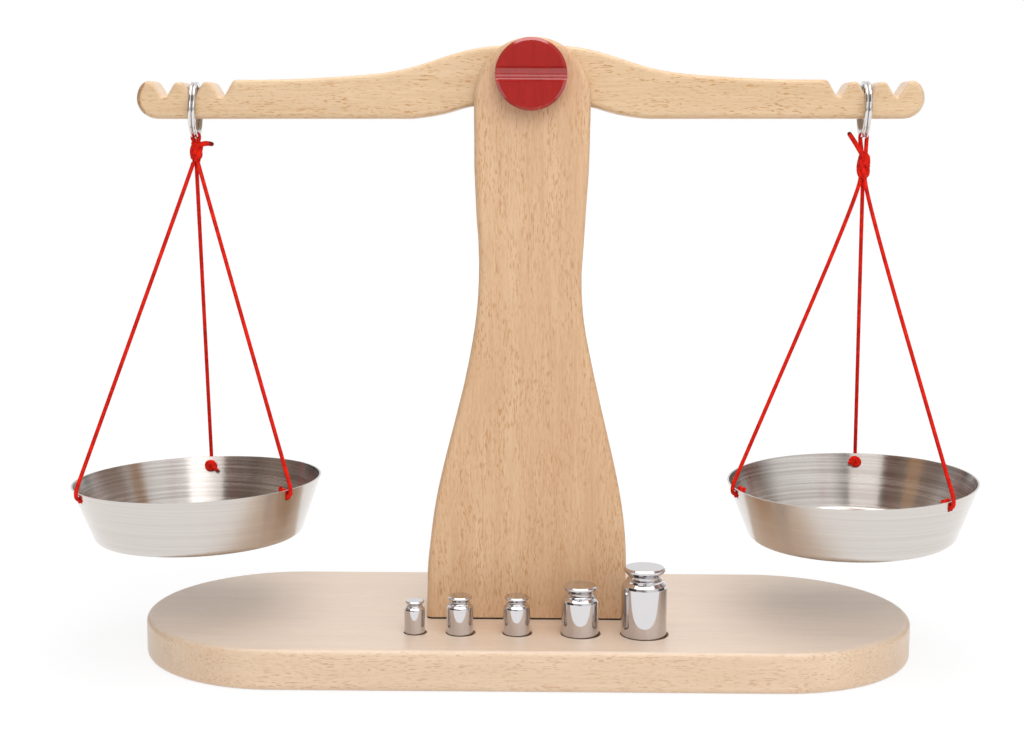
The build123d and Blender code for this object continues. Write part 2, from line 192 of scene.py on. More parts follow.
def soft_box(name, place, aim, width, height, watts, mirrored=False):
    """A rectangular area light at place, turned to face aim."""
    lamp = bpy.data.objects.new(name, bpy.data.lights.new(name, "AREA"))
    lamp.data.shape = "RECTANGLE"
    lamp.data.size = width
    lamp.data.size_y = height
    lamp.data.energy = watts
    lamp.location = place
    lamp.rotation_euler = (Vector(aim) - Vector(place)).to_track_quat("-Z", "Y").to_euler()
    lamp.visible_glossy = mirrored
    lamp.visible_diffuse = not mirrored
    lamp.visible_camera = False
    bpy.context.scene.collection.objects.link(lamp)


soft_box("key_box", (0.12, -1.15, 1.0), (0, 0, 0.12), width=0.8, height=0.8, watts=6.2)
soft_box("fill_box", (1.2, -1.0, 0.8), (0, 0, 0.15), width=0.5, height=1.0, watts=3)
soft_box("window_box", (-0.145, -0.58, 0.5), (0, 0, 0.08), width=0.44, height=0.3, watts=0.68,
         mirrored=True)
soft_box("top_box", (0.1, 0, 1.5), (0, 0, 0), width=1.4, height=0.9, watts=9.1)


# Strands: three red waxed cords hold each pan. They leave the knot in a short bundle, run
# straight down to the pan, bend over its lip and turn in through a hole in the wall. Inside
# the pan each ends in a small stopper knot with a cut and singed end.
cord_radius = 1.0 * mm
lip_gap = 0.35 * mm
strand_spread = 1.3 * mm
knot_play = 0.4 * mm
ring_reach = 163 * mm
lip_straight = 12 * mm
pan_rim_radius = 62 * mm
pan_floor_radius = 51 * mm
pan_depth = 29 * mm
pan_hole_drop = 4 * mm
stopper_back = 3.0 * mm
stopper_inset = 0.6 * mm
stopper_cord = 1.0 * mm
hole_rise = 0.7 * mm
core_radius = 2.3 * mm
core_inset = 1.5 * mm
feet_spread = 1.2 * mm
knot_girths = [(0.08, 1.85), (0.36, 1.95), (0.66, 1.9), (0.88, 1.5), (1.0, 0.6)]

# How each pan hangs. Plain lengths are in mm, but the strands' own are in metres.
#   x, aside, lean: the notch, the knot's shift from it and its foot's shift from its top
#   ring: the height of its middle, its radius, its shift in the notch and its turn
#   knot_low, bundle: where the strands leave the knot and how far they stay together
#   rim, tilt_x, tilt_y, holes: the pan's rim, its tilt and its holes' azimuths in degrees
#   lengths, ends: each strand's length, and its stopper's handedness, form and drop
#   body, twist, foot_girth: the knot's bottom, top and plumpness, its turn and its foot
#   wraps: the level, rise, girth and first angle of each turn round the knot
#   legs: the half width of the loop at the knot and at the ring
#   tail, tail_girth: the cut end's points from the knot's top, and its girth at each
hangs = {
    "left": {
        "x": -ring_reach,
        "aside": -0.5 * mm,
        "lean": -0.7 * mm,
        "ring": (270.0 * mm, 12.7 * mm, -0.4 * mm, radians(-2.8)),
        "knot_low": 245.24 * mm,
        "bundle": 0.8 * mm,
        "rim": Vector((-167, 0, 86.6)) * mm,
        "tilt_x": radians(-0.7),
        "tilt_y": radians(1.5),
        "holes": {"back": 94.5, "left": 214, "right": 326},
        "lengths": {"back": 0.1796, "left": 0.1807, "right": 0.1757},
        "ends": {"back": (1, "down", 1.0), "left": (-1, "short", 1.6), "right": (1, "up", -0.6)},
        "body": (246.9 * mm, 254.3 * mm, 0.05),
        "twist": 1.9,
        "foot_girth": 1.3,
        "wraps": [(0.86, -0.7, 2.1, 0.4)],
        "legs": (1.0, 1.0),
        "tail": [(0.2, -1.4, -1.3), (2.4, -1.8, -1.0), (5, -1.9, -0.2), (7.6, -2.2, -0.7)],
        "tail_girth": [1.25, 1.3, 1.25, 1.05],
    },
    "right": {
        "x": ring_reach,
        "aside": -0.1 * mm,
        "lean": -0.2 * mm,
        "ring": (271.6 * mm, 12.95 * mm, -1.2 * mm, radians(2.5)),
        "knot_low": 238.84 * mm,
        "bundle": 6.3 * mm,
        "rim": Vector((162.3, 0, 88.1)) * mm,
        "tilt_x": radians(1.5),
        "tilt_y": radians(1.7),
        "holes": {"back": 77.5, "left": 192, "right": 308},
        "lengths": {"back": 0.1695, "left": 0.1737, "right": 0.1714},
        "ends": {"back": (-1, "short", 0.5), "left": (1, "short", -1.4),
                 "right": (-1, "short", -1.2)},
        "body": (239.6 * mm, 250.1 * mm, 0.2),
        "twist": -1.9,
        "foot_girth": 0.9,
        "wraps": [(0.8, 0.9, 2.25, 0.3), (0.56, -1.1, 2.45, 0.2)],
        "legs": (0.75, 1.6),
        "tail": [(0.2, -1.2, -2.4), (-1.2, -2.2, -0.6), (-4, -2.7, 4.2), (-8, -3, 9.8)],
        "tail_girth": [1.1, 1.15, 1.2, 1.15],
    },
}
pan_taper = (pan_rim_radius - pan_floor_radius) / pan_depth
pan_lean = atan2(pan_rim_radius - pan_floor_radius, pan_depth)


def cord_finish(name, low, high, roughness):
    """Waxed cord: patchy colour with a fine ribbed surface."""
    material, tree, output = new_material(name)
    place = wire(tree, "ShaderNodeTexCoord").outputs["Object"]
    threads = wire(tree, "ShaderNodeTexNoise", {"Vector": place, "Scale": 1300.0, "Detail": 3.0})
    patches = wire(tree, "ShaderNodeTexNoise", {"Vector": place, "Scale": 330.0, "Detail": 3.0})
    share = ramp(tree, patches.outputs[0], (0.3, 0.0), (0.7, 1.0))
    dent = wire(tree, "ShaderNodeBump", {
        "Height": threads.outputs[0], "Strength": 0.5, "Distance": 0.0002,
    })
    waxed = wire(tree, "ShaderNodeBsdfPrincipled", {
        "Base Color": blend(tree, share, low, high), "Roughness": roughness,
        "Normal": dent.outputs[0], "Specular IOR Level": 0.12,
    })
    tree.links.new(waxed.outputs[0], output.inputs[0])
    return material


red_cord = cord_finish("red_waxed_cord", (0.50, 0.007, 0.003), (0.86, 0.017, 0.004), 0.55)
singed_end = cord_finish("singed_cord_end", (0.03, 0.008, 0.006), (0.3, 0.008, 0.006), 0.4)


def line_curve(name, points, radius, material, order=3, swell=None):
    """A round cord or wire along one smooth NURBS line through its control points."""
    curve = bpy.data.curves.new(name, "CURVE")
    curve.dimensions = "3D"
    curve.bevel_depth = radius
    curve.bevel_resolution = 4
    curve.resolution_u = 8
    curve.use_fill_caps = True
    spline = curve.splines.new("NURBS")
    spline.points.add(len(points) - 1)
    for control, point, share in zip(spline.points, points, swell or [1.0] * len(points)):
        control.co = (*point, 1)
        control.radius = share
    spline.order_u = order
    spline.use_endpoint_u = True
    piece = bpy.data.objects.new(name, curve)
    bpy.context.scene.collection.objects.link(piece)
    curve.materials.append(material)
    return piece


def rim_axes(hang):
    """The pan's own x, y and z directions, level with its rim."""
    normal = Vector((-sin(hang["tilt_y"]), -sin(hang["tilt_x"]), 1)).normalized()
    across = (Vector((1, 0, 0)) - normal * normal.x).normalized()
    return across, normal.cross(across), normal


def join_curves(name, pieces):
    """Several curves as one mesh piece, each with its own material."""
    bpy.context.view_layer.update()
    shapes = bpy.context.evaluated_depsgraph_get()
    whole = bmesh.new()
    materials = []
    for piece in pieces:
        part = bpy.data.meshes.new_from_object(piece.evaluated_get(shapes))
        if part.materials[0] not in materials:
            materials.append(part.materials[0])
        for face in part.polygons:
            face.material_index = materials.index(part.materials[0])
        whole.from_mesh(part)
        bpy.data.meshes.remove(part)
        bpy.data.objects.remove(piece)
    mesh = bpy.data.meshes.new(name)
    whole.to_mesh(mesh)
    whole.free()
    for material in materials:
        mesh.materials.append(material)
    for face in mesh.polygons:
        face.use_smooth = True
    joined = bpy.data.objects.new(name, mesh)
    bpy.context.scene.collection.objects.link(joined)
    return joined


def stopper_knot(name, hole, inward, down, sideways, pointing, drop):
    """A small overhand knot against the wall, with its cut end pointing to one side."""
    side = inward.cross(down).normalized() * sideways

    def spot(u, v, w):
        """A place in the knot: so many mm inward of the hole, to the side of it and below it."""
        return hole + (inward * u + side * v + down * w) * mm

    turns = [(-1.6, 0, -0.6), (0.6, 0, 0.2), (1.7, 2.4, 0.7), (2.9, 1.7, -1.7), (2.4, -1.5, -1.8),
             (1.2, -2.5, 0.2), (1.4, -1.4, 2.1), (2.9, 1.0, 2.0), (4.1, 1.5, 0.4),
             (4.0, -0.5, -0.4)]
    ends = {"down": ((3.6, 1.2, 0.8), (3.0, 2.6, 2.1), (2.8, 3.6, 3.0)),
            "short": ((3.6, 1.0, 0.4), (2.9, 2.3, 1.0), (2.6, 2.9, 1.3)),
            "up": ((4.0, 0.8, -1.6), (3.6, 1.6, -2.6), (3.4, 1.8, -3.2))}
    body = [spot(u, v, w + (drop if u > 1 else 0)) for u, v, w in turns]
    end = [spot(u, v, w + drop) for u, v, w in (turns[-1], *ends[pointing])]
    heart = [spot(u, 0, drop) for u in (0.6, 3.2)]
    tip = [end[-1] + (end[-2] - end[-1]) * 0.45, end[-1] + (end[-1] - end[-2]) * 0.25]
    return join_curves(name, [
        line_curve(name + "_turns", body, stopper_cord, red_cord),
        line_curve(name + "_heart", heart, stopper_cord * 1.7, red_cord, order=2),
        line_curve(name + "_end", end, stopper_cord * 1.05, red_cord),
        line_curve(name + "_tip", tip, stopper_cord, singed_end, order=2, swell=[1.0, 0.6]),
    ])


for side, hang in hangs.items():
    x = hang["x"] + hang["aside"]
    lean = hang["lean"]
    across, along, normal = rim_axes(hang)
    for place_name, azimuth in hang["holes"].items():
        bearing = radians(azimuth)
        out = across * cos(bearing) + along * sin(bearing)
        through = out * cos(pan_lean) - normal * sin(pan_lean)
        mouth = (hang["rim"] + out * (pan_rim_radius - pan_hole_drop * pan_taper)
                 - normal * pan_hole_drop)
        spread = Vector((cos(bearing), sin(bearing), 0)) * strand_spread
        start = Vector((x + lean, 0, hang["knot_low"] - knot_play)) + spread
        parted = start - Vector((0, 0, hang["bundle"]))
        lip = hang["rim"] + out * (pan_rim_radius + cord_radius + lip_gap)
        points = [
            start,
            parted,
            lip + (parted - lip).normalized() * lip_straight,
            lip,
            mouth + through * (cord_radius + lip_gap) + normal * hole_rise,
            mouth - through * stopper_back,
        ]
        strand = line_curve(f"{side}_cord_{place_name}", points, cord_radius, red_cord)
        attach(strand, f"{side}_pan")
        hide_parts(f"{side}_strand_{place_name}")
        downward = (Vector((0, 0, -1)) + through * Vector((0, 0, 1)).dot(through)).normalized()
        stopper = stopper_knot(f"{side}_knot_{place_name}", mouth - through * stopper_inset,
                               -through, downward, *hang["ends"][place_name])
        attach(stopper, f"{side}_pan")
        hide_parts(f"{side}_stopper_{place_name}")

    # Knot: the strands and the loop's two legs meet in a tight knot, wound round and
    # crossed over in front
    low, top, plump = hang["body"]
    height = top - low
    core = [Vector((x + lean, 0, low + core_inset)), Vector((x, 0, top - core_inset))]
    cords = [line_curve(f"{side}_core", core, core_radius, red_cord, order=2)]
    for i in range(3):
        angle = 2.1 * i + 0.5
        foot = Vector((x + lean + feet_spread * cos(angle), feet_spread * sin(angle),
                       hang["knot_low"] - knot_play))
        gathered = Vector((foot.x - lean, foot.y, top - core_inset))
        cords.append(line_curve(f"{side}_foot_{i}", [foot, gathered], cord_radius, red_cord,
                                order=2))
    for i in range(5):
        twisted = []
        for share, girth in ((0.0, hang["foot_girth"]), *knot_girths):
            angle = 2 * pi * i / 5 + share * hang["twist"]
            reach = (girth + plump) * mm
            twisted.append((x + lean * (1 - share) + reach * cos(angle), reach * sin(angle),
                            low + height * share))
        cords.append(line_curve(f"{side}_turn_{i}", twisted, cord_radius * 1.3, red_cord))
    for level, rise, girth, first in hang["wraps"]:
        wrapped = []
        for i in range(9):
            angle = first + i * pi / 4
            wrapped.append((x + girth * mm * cos(angle), girth * mm * sin(angle),
                            low + height * level + rise * mm * cos(angle)))
        cords.append(line_curve(f"{side}_wrap_{len(cords)}", wrapped, cord_radius * 0.95, red_cord))
    knot = join_curves(f"{side}_gathering_knot", cords)
    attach(knot, f"{side}_hanger")
    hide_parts(f"{side}_top_knot")

    # Loop: the cord's bight round the ring's two wires. Its places are in mm, and hung is how
    # far the ring's lowest point is to the side of the knot.
    ring_middle, ring_radius, ring_aside, yaw = hang["ring"]
    wire_low = (ring_middle - ring_radius) / mm
    hung = (hang["x"] + ring_aside + ring_radius * tan(yaw) - x) / mm
    ankle, hip = hang["legs"]
    turned_line = [
        (-ankle, -0.3, top / mm - 2),
        (hung - hip, -0.3, wire_low - 3.2),
        (hung - hip, -0.2, wire_low - 2.1),
        (hung - 2.0, -0.1, wire_low - 1.4),
        (hung - 2.05, 0, wire_low + 1.3),
        (hung, 0, wire_low + 1.8),
        (hung + 2.05, 0, wire_low + 1.3),
        (hung + 2.0, 0.1, wire_low - 1.4),
        (hung + hip, 0.2, wire_low - 2.1),
        (hung + hip, 0.3, wire_low - 3.2),
        (ankle, 0.3, top / mm - 2),
    ]
    squeezed = [1, 1, 0.95, 0.65, 0.5, 0.5, 0.5, 0.65, 0.95, 1, 1]
    turned_line = [(x + u * mm, v * mm, w * mm) for u, v, w in turned_line]
    bights = [line_curve(f"{side}_turned_cord", turned_line, cord_radius, red_cord, swell=squeezed)]
    for way in (-1, 1):
        leg = [(x + way * ankle * mm, way * 0.2 * mm, top - 2 * mm),
               (x + (hung + way * hip) * mm, way * 0.2 * mm, (wire_low - 0.9) * mm)]
        bights.append(line_curve(f"{side}_leg_{way}", leg, cord_radius, red_cord, order=2))
    loop = join_curves(f"{side}_bight", bights)
    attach(loop, f"{side}_hanger")
    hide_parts(f"{side}_cord_loop")

    # Tail: the cut end left standing out of the knot, singed dark at its tip
    tail_line = [Vector((x, 0, top)) + Vector(offset) * mm for offset in hang["tail"]]
    cut = tail_line[-1]
    onward = (cut - tail_line[-2]).normalized()
    tip = [cut + onward * reach * mm for reach in (-1.1, 0.3, 1.0)]
    tail = join_curves(f"{side}_tail", [
        line_curve(f"{side}_tail_cord", tail_line, cord_radius, red_cord, swell=hang["tail_girth"]),
        line_curve(f"{side}_tail_tip", tip, cord_radius, singed_end, order=2,
                   swell=[1.12, 1.08, 0.55]),
    ])
    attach(tail, f"{side}_hanger")
    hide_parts(f"{side}_cord_tail")


# Base board: a long board of pale beech with round ends, sanded and left nearly matt. Its
# grain runs along the board, with end grain showing on the round ends.
board_top = 20 * mm
grain_wander = 9 * mm
# The painted shade in the crease at the post's foot: how far above the board it is full, and over
# how much more it fades.
crease_shade_gap = 0.7 * mm
crease_shade_fade = 0.3 * mm
heart_end = -186.2 * mm


def beech(name, grain, pale, deep, fleck, fleck_share, ends, end_grain_and_sheen_share, roughness,
          top=None, crease_height=None, satin=0.0, heart=None):
    """Beech with long soft bands, fine fibres and the short dark flecks of its rays.

    grain is the axis that it runs along. top is the colour of its upper face, whose paler,
    pinker tone is a painted reflection of the white surroundings laid over the grain. ends is
    the colour of faces across the grain: darker end grain on the board and the post, but on
    the beam a pale painted reflection. The height given for the foot sets a thin, nearly black
    painted shade in the crease where it stands on the board, and heart is the darker end grain
    at its far left."""
    material, tree, output = new_material(name)
    texture_place = wire(tree, "ShaderNodeTexCoord").outputs
    place = texture_place["Object"]
    facing = wire(tree, "ShaderNodeSeparateXYZ", {0: texture_place["Normal"]}).outputs
    parts = wire(tree, "ShaderNodeSeparateXYZ", {0: place}).outputs
    wander = wire(tree, "ShaderNodeTexNoise", {"Vector": place, "Scale": 9.0, "Detail": 2.0})
    offset = wire(tree, "ShaderNodeVectorMath", {
        0: wander.outputs["Color"], 1: (grain_wander, grain_wander, grain_wander),
    }, operation="MULTIPLY").outputs[0]
    drawn = wire(tree, "ShaderNodeVectorMath", {0: place, 1: offset}, operation="ADD").outputs[0]

    def grained(across, along, detail):
        """Noise that is drawn out along the grain."""
        scale = [across] * 3
        scale["XYZ".index(grain)] = along
        stretched = wire(tree, "ShaderNodeMapping", {"Vector": drawn, "Scale": scale}).outputs[0]
        return wire(tree, "ShaderNodeTexNoise", {
            "Vector": stretched, "Scale": 1.0, "Detail": detail, "Roughness": 0.6,
        }).outputs[0]

    bands = ramp(tree, grained(70, 5, 4.0), (0.34, 0.0), (0.66, 1.0))
    fibres = grained(900, 38, 3.0)
    streaks = ramp(tree, fibres, (0.32, 0.0), (0.7, 1.0))
    dashes = grained(1700, 260, 1.0)
    dashes = ramp(tree, dashes, (0.7 - fleck_share, 0.0), (0.8 - fleck_share, 1.0))
    patches = ramp(tree, grained(160, 30, 2.0), (0.38, 0.3), (0.6, 1.0))
    flecks = maths(tree, "MULTIPLY", dashes, patches)
    depth = maths(tree, "MULTIPLY_ADD", streaks, 0.5, maths(tree, "MULTIPLY", bands, 0.5))
    wood = blend(tree, depth, pale, deep)
    # The upper face takes the top colour, paler and pinker than the sides: a painted reflection of
    # the white surroundings, with the grain's lines kept in it.
    if top:
        upward = ramp(tree, facing["Z"], (0.5, 0.0), (0.95, 1.0))
        lines = blend(tree, depth, tuple(1.05 * c for c in top), tuple(0.9 * c for c in top))
        wood = blend(tree, upward, wood, lines)
        rest = maths(tree, "SUBTRACT", 1.0, maths(tree, "MULTIPLY", upward, 0.8))
        flecks = maths(tree, "MULTIPLY", flecks, rest)
    wood = blend(tree, flecks, wood, fleck)
    # Faces across the grain take the ends colour: on the board and post darker end grain, on the
    # beam a pale painted reflection of the white surroundings.
    end_face = maths(tree, "ABSOLUTE", facing[grain])
    end_grain_and_sheen = maths(tree, "MULTIPLY", maths(tree, "POWER", end_face, 3.0), end_grain_and_sheen_share)
    wood = blend(tree, end_grain_and_sheen, wood, ends)
    if heart:
        core = ramp(tree, end_face, (0.12, 0.0), (0.4, 1.0))
        core = maths(tree, "MULTIPLY", core, maths(tree, "LESS_THAN", parts["X"], heart_end))
        core = maths(tree, "MULTIPLY", core, ramp(tree, fibres, (0.3, 0.55), (0.7, 1.0)))
        wood = blend(tree, core, wood, heart)
    # A thin, nearly black band at the foot: painted shade in the crease where the piece stands on
    # the board.
    if crease_height:
        painted_crease_shade = wire(tree, "ShaderNodeMapRange", {
            "Value": parts["Z"], "From Min": crease_height + crease_shade_gap,
            "From Max": crease_height + crease_shade_gap + crease_shade_fade, "To Min": 1.0, "To Max": 0.0,
        }).outputs[0]
        wood = blend(tree, painted_crease_shade, wood, (0.015, 0.006, 0.003))
    relief = maths(tree, "MULTIPLY_ADD", flecks, -0.5, fibres)
    dent = wire(tree, "ShaderNodeBump", {"Height": relief, "Strength": 0.1, "Distance": 0.0003})
    shine = wire(tree, "ShaderNodeMapRange", {
        "Value": fibres, "To Min": roughness - 0.06, "To Max": roughness + 0.1,
    })
    sanded = wire(tree, "ShaderNodeBsdfPrincipled", {
        "Base Color": wood, "Roughness": shine.outputs[0], "Normal": dent.outputs[0],
        "Specular IOR Level": 0.4, "Coat Weight": satin, "Coat Roughness": 0.32,
    })
    tree.links.new(sanded.outputs[0], output.inputs[0])
    return material


def dress(node, material):
    """Gives one of the CAD's own solids its finish."""
    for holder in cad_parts[node].material_slots:
        holder.material = material


# The board's upper face is given a paler, pinker colour, a painted reflection of the white
# surroundings.
pale_beech = beech(
    "pale_sanded_beech", "X",
    pale=(0.83, 0.64, 0.46), deep=(0.73, 0.52, 0.35),
    fleck=(0.62, 0.39, 0.23), fleck_share=0.15,
    ends=(0.57, 0.41, 0.27), end_grain_and_sheen_share=0.35,
    roughness=0.5, top=(0.78, 0.62, 0.49), satin=0.7,
)
dress("base_board", pale_beech)


# Upright: a flat beech post with a vase outline and a domed head, oiled to a warmer colour,
# with the grain standing. It is held on the board by two dowels and two screws from below.
upright_beech = beech(
    "oiled_upright_beech", "Z",
    pale=(0.77, 0.53, 0.33), deep=(0.63, 0.38, 0.21),
    fleck=(0.57, 0.31, 0.145), fleck_share=0.17,
    ends=(0.49, 0.30, 0.16), end_grain_and_sheen_share=0.3,
    # The post's foot gets a thin painted shade in its crease against the board.
    roughness=0.42, crease_height=board_top,
)
upright_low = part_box("upright")[0].z
upright_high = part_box("upright")[1].z
upright_lean = 1.8 * mm
flank_slimmer = 1.15 * mm
flank_band = (35 * mm, 65 * mm, 135 * mm, 175 * mm)
neck_wider = 0.75 * mm
left_neck_band = (200 * mm, 222 * mm, 238 * mm, 262 * mm)
right_neck_band = (190 * mm, 210 * mm, 240 * mm, 265 * mm)
head_start = 286 * mm
head_rise = 1.0 * mm


def eased(value, low, high):
    """0 below low, 1 above high and smooth between."""
    t = min(1.0, max(0.0, (value - low) / (high - low)))
    return t * t * (3 - 2 * t)


def band(value, low, full, fading, high):
    """1 from full to fading, 0 below low and above high, and smooth between."""
    return eased(value, low, full) * (1 - eased(value, fading, high))


# A copy of the solid that follows the photograph's outline: it leans a little to the right,
# its left flank is slimmer, its neck is wider and its head a little higher
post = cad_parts["upright"].data.copy()
post.name = "forked_upright"
for vertex in post.vertices:
    height = vertex.co.z
    if vertex.co.x < 0:
        vertex.co.x += flank_slimmer * band(height, *flank_band)
        vertex.co.x -= neck_wider * band(height, *left_neck_band)
    else:
        vertex.co.x += neck_wider * band(height, *right_neck_band)
    vertex.co.x += upright_lean * ((height - upright_low) / (upright_high - upright_low) - 0.5)
    vertex.co.z += head_rise * eased(height, head_start, upright_high)
for i in range(len(post.materials)):
    post.materials[i] = upright_beech
upright = bpy.data.objects.new("forked_upright", post)
bpy.context.scene.collection.objects.link(upright)
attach(upright, "stand")
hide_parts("upright")
dress("foot_dowels", pale_beech)


# Beam: sawn from oiled beech with a raised middle and straight arms, all its long edges
# well rounded. It turns on a bush in its middle, and three notches near each end take the
# pans' rings.

# Its outline to the right of the middle, in mm
crown_line = [(0, 301.5), (20, 300.85), (33.5, 298.25), (62, 289.85), (91, 286.65)]
arm_top = 285.15
arm_flat = 11.3
shoulder = 143.2
notch_places = [148.5, 163.1, 176.4]
vees = [275.35, 274.9, 275.35]
peaks = [(155.7, 287.5), (168.9, 288.1)]
dome_start = (182.3, 284.6)
dome = (184.0, 284.6)
beam_tip = 190.1
tip_height = 275.7
tip_foot = 180.0
arm_bottom = 266.45
belly_line = [(60, arm_bottom), (43, 268.55), (28, 272.5), (0, 275.0)]
shoulder_radius = 3.2
notch_radii = [1.8, 1.6, 1.8]
bump_radius = 3.4
dome_radius = 2.7
crown_steps = 10
belly_steps = 8
tip_steps = 12
longest_run = 2.5
shortest_run = 0.05

# Its thickness, edges and place, in mm
beam_half = 10.0
long_edge = 2.7
notch_edge = 1.7
notch_band = (143, 148, 180, 184)
notch_low = 272
edge_steps = 6
hole_points = 40
beam_shift = -0.6
beam_lean = radians(0.27)
pivot = Vector((0, 0, 287 * mm))


def flowing(points, steps):
    """Points along a smooth line through the given ones, level at both ends."""
    slopes = [0.0]
    for before, after in zip(points, points[2:]):
        slopes.append((after[1] - before[1]) / (after[0] - before[0]))
    slopes.append(0.0)
    line = []
    for i in range(len(points) - 1):
        (x0, z0), (x1, z1) = points[i], points[i + 1]
        width = x1 - x0
        for step in range(steps):
            t = step / steps
            line.append(Vector((
                x0 + width * t,
                (2 * t**3 - 3 * t**2 + 1) * z0 + (t**3 - 2 * t**2 + t) * width * slopes[i]
                + (-2 * t**3 + 3 * t**2) * z1 + (t**3 - t**2) * width * slopes[i + 1],
            )))
    return line


def filleted(points, radii, steps=8):
    """A line of straight runs whose inner corners are rounded to the given radii."""
    line = [Vector(points[0])]
    for before, corner, after, radius in zip(points, points[1:], points[2:], radii):
        corner = Vector(corner)
        back = (Vector(before) - corner).normalized()
        forth = (Vector(after) - corner).normalized()
        half = back.angle(forth) / 2
        centre = corner + (back + forth).normalized() * (radius / sin(half))
        first = corner + back * (radius / tan(half)) - centre
        last = corner + forth * (radius / tan(half)) - centre
        turn = first.angle_signed(last)
        for step in range(steps + 1):
            arm = first.copy()
            arm.rotate(Matrix.Rotation(-turn * step / steps, 2))
            line.append(centre + arm)
    line.append(Vector(points[-1]))
    return line


def evenly(line, longest):
    """The same line with its long runs divided."""
    filled = []
    for start, end in zip(line, line[1:]):
        parts = max(1, int((end - start).length / longest))
        filled += [start.lerp(end, part / parts) for part in range(parts)]
    return filled + [line[-1]]


def smooth_piece(name, bm, material):
    """A finished mesh object with weighted normals, so that its flats stay flat."""
    bmesh.ops.recalc_face_normals(bm, faces=bm.faces)
    mesh = bpy.data.meshes.new(name)
    bm.to_mesh(mesh)
    bm.free()
    for face in mesh.polygons:
        face.use_smooth = True
    mesh.materials.append(material)
    piece = bpy.data.objects.new(name, mesh)
    bpy.context.scene.collection.objects.link(piece)
    weighted = piece.modifiers.new("weighted", "WEIGHTED_NORMAL")
    weighted.mode = "FACE_AREA"
    weighted.keep_sharp = True
    return piece


crown_end = shoulder - arm_flat
toothed = [
    (crown_end, arm_top),
    (shoulder, arm_top),
    (notch_places[0], vees[0]),
    peaks[0],
    (notch_places[1], vees[1]),
    peaks[1],
    (notch_places[2], vees[2]),
    dome_start,
    dome,
]
tooth_radii = [shoulder_radius, notch_radii[0], bump_radius, notch_radii[1], bump_radius,
               notch_radii[2], dome_radius]
arm_line = filleted(toothed, tooth_radii)
quarters = [(dome[0], dome[1] - tip_height, 0), (tip_foot, tip_height - arm_bottom, pi / 2)]
for middle, reach, first in quarters:
    for step in range(1, tip_steps + 1):
        angle = first + pi / 2 * step / tip_steps
        arm_line.append(Vector((middle + (beam_tip - middle) * sin(angle),
                                tip_height + reach * cos(angle))))
arm_line.append(Vector(belly_line[0]))
half_line = flowing(crown_line + [(crown_end, arm_top)], crown_steps)
half_line += evenly(arm_line, longest_run)
half_line += flowing(belly_line, belly_steps)[1:] + [Vector(belly_line[-1])]
mirrored_line = [Vector((-point.x, point.y)) for point in reversed(half_line[1:-1])]
outline = [half_line[0]]
for point in half_line[1:] + mirrored_line:
    if (point - outline[-1]).length > shortest_run:
        outline.append(point)

# Each side face, from its rounded edge inward
bm = bmesh.new()
layers = {-1: [], 1: []}
for step in range(edge_steps + 1):
    angle = pi / 2 * step / edge_steps
    for way in (-1, 1):
        layer = []
        for i, point in enumerate(outline):
            ahead = (outline[(i + 1) % len(outline)] - point).normalized()
            onward = (ahead + (point - outline[i - 1]).normalized()).normalized()
            inward = Vector((onward.y, -onward.x))
            notched = band(abs(point.x), *notch_band) if point.y >= notch_low else 0
            edge = long_edge + (notch_edge - long_edge) * notched
            inset = point + inward * edge * (1 - cos(angle))
            depth = beam_half - edge * (1 - sin(angle))
            layer.append(bm.verts.new((inset.x * mm, way * depth * mm, inset.y * mm)))
        layers[way].append(layer)
for way in (-1, 1):
    for outer, inner in zip(layers[way], layers[way][1:]):
        for i in range(len(outline)):
            bm.faces.new((outer[i - 1], outer[i], inner[i], inner[i - 1]))
front, back = layers[-1][0], layers[1][0]
for i in range(len(outline)):
    bm.faces.new((front[i - 1], front[i], back[i], back[i - 1]))

# The bush's hole
bush_radius = (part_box("beam_bush")[1].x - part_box("beam_bush")[0].x) / 2
hole = {-1: [], 1: []}
for way in (-1, 1):
    for i in range(hole_points):
        angle = 2 * pi * i / hole_points
        hole[way].append(bm.verts.new((pivot.x + bush_radius * cos(angle), way * beam_half * mm,
                                       pivot.z + bush_radius * sin(angle))))
for i in range(hole_points):
    bm.faces.new((hole[-1][i - 1], hole[-1][i], hole[1][i], hole[1][i - 1]))
for way in (-1, 1):
    edges = [bm.edges.get((loop[i - 1], loop[i])) or bm.edges.new((loop[i - 1], loop[i]))
             for loop in (layers[way][-1], hole[way]) for i in range(len(loop))]
    bmesh.ops.triangle_fill(bm, edges=edges, use_beauty=True, use_dissolve=False)

beam_beech = beech(
    "oiled_beam_beech", "X",
    pale=(0.785, 0.58, 0.37), deep=(0.65, 0.43, 0.235),
    fleck=(0.55, 0.28, 0.10), fleck_share=0.13,
    # On the beam the ends colour is very pale: a painted reflection of the white surroundings on
    # the notch flanks and tips.
    ends=(0.95, 0.82, 0.70), end_grain_and_sheen_share=0.5,
    roughness=0.42, satin=0.5, heart=(0.37, 0.16, 0.05),
)
leaning = (Matrix.Translation(pivot) @ Matrix.Rotation(-beam_lean, 4, "Y")
           @ Matrix.Translation(-pivot))
placed = Matrix.Translation((beam_shift * mm, 0, 0)) @ leaning
bmesh.ops.transform(bm, matrix=placed, verts=bm.verts)
beam = smooth_piece("notched_beam", bm, beam_beech)
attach(beam, "beam")
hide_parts("beam")


